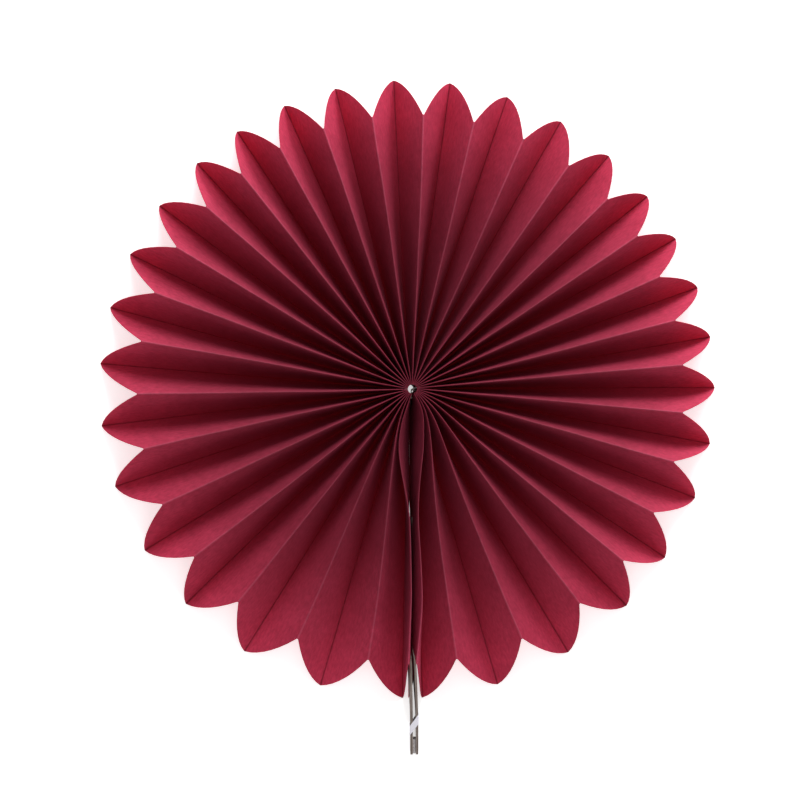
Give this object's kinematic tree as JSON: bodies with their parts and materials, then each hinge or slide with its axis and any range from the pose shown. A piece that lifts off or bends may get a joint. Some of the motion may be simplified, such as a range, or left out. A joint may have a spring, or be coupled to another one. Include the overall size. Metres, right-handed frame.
{
  "type": "paper fan rosette",
  "caption": "Round pleated paper fan opened to a full rosette with pointed petals, and two board strips in its seam, tied below the rim.",
  "frame": {"origin": "hub axis, in the plane of the valley folds that the fan lies on", "axes": "+Z out of the front of the fan along the hub axis, -Y along the seam and the stiffener strips"},
  "size_m": [0.2995, 0.3258, 0.0202],
  "materials": {
    "burgundy_paper": "dyed wine-red paper, matt, with sharp creases",
    "greyboard": "cut edge of grey-brown board",
    "foam_pad": "light grey foam with adhesive faces",
    "white_ribbon": "white satin ribbon",
    "white_thread": "white twisted thread"
  },
  "bodies": {
    "root": {"pleated_paper": "burgundy_paper", "left_stiffener": "greyboard", "right_stiffener": "greyboard", "adhesive_pad": "foam_pad", "tie_ribbon": "white_ribbon", "hub_thread": "white_thread"}
  },
  "joints": []
}
